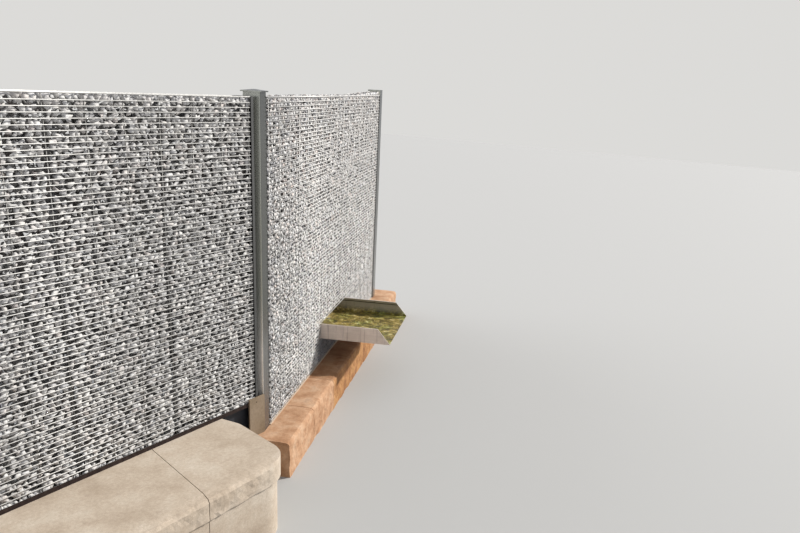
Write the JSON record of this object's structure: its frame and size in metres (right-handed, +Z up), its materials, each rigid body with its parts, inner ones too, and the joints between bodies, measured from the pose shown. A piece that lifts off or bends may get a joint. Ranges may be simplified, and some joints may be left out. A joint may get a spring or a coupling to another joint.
{
  "type": "gabion wall",
  "caption": "Bent garden wall of stone-filled welded mesh bays between steel posts, with a wide water spout over a sandstone kerb.",
  "frame": {"origin": "on the ground under the axis of the turned corner post", "axes": "+Z up; the left run goes along -X, the pond side faces -Y, the right run turns back towards +Y"},
  "size_m": [10.3913, 2.2379, 2.301],
  "materials": {
    "stones": "rough crushed stone",
    "mesh_wire": "galvanised",
    "channel_steel": "galvanised",
    "post_steel": "brushed",
    "spout_steel": "brushed, weathered",
    "dark_rail": "satin",
    "footing_liner": "matt sheet over the footing",
    "kerb_sandstone": "sawn",
    "plinth_sandstone": "sawn"
  },
  "bodies": {
    "root": {"corner_cap": "post_steel", "corner_footing": "footing_liner", "corner_lugs": "post_steel", "corner_post": "post_steel", "far_bay_channel_left": "channel_steel", "far_bay_channel_right": "channel_steel", "far_bay_fill": "stones", "far_bay_rail": "dark_rail", "far_bay_rows_back": "mesh_wire", "far_bay_rows_front": "mesh_wire", "far_bay_ties": "mesh_wire", "far_bay_uprights_back": "mesh_wire", "far_bay_uprights_front": "mesh_wire", "foot_plate": "plinth_sandstone", "kerb_stones": "kerb_sandstone", "left_end_cap": "post_steel", "left_end_post": "post_steel", "middle_cap": "post_steel", "middle_post": "post_steel", "near_bay_channel_left": "channel_steel", "near_bay_channel_right": "channel_steel", "near_bay_fill": "stones", "near_bay_rail": "dark_rail", "near_bay_rows_back": "mesh_wire", "near_bay_rows_front": "mesh_wire", "near_bay_ties": "mesh_wire", "near_bay_uprights_back": "mesh_wire", "near_bay_uprights_front": "mesh_wire", "plinth_blocks": "plinth_sandstone", "plinth_slabs": "plinth_sandstone", "right_bay_channel_right": "channel_steel", "right_bay_end_plate": "channel_steel", "right_bay_fill": "stones", "right_bay_rail": "post_steel", "right_bay_rows_back": "mesh_wire", "right_bay_rows_front": "mesh_wire", "right_bay_ties": "mesh_wire", "right_bay_uprights_back": "mesh_wire", "right_bay_uprights_front": "mesh_wire", "right_end_plate": "post_steel", "right_end_post": "post_steel", "spout": "spout_steel"}
  },
  "joints": []
}
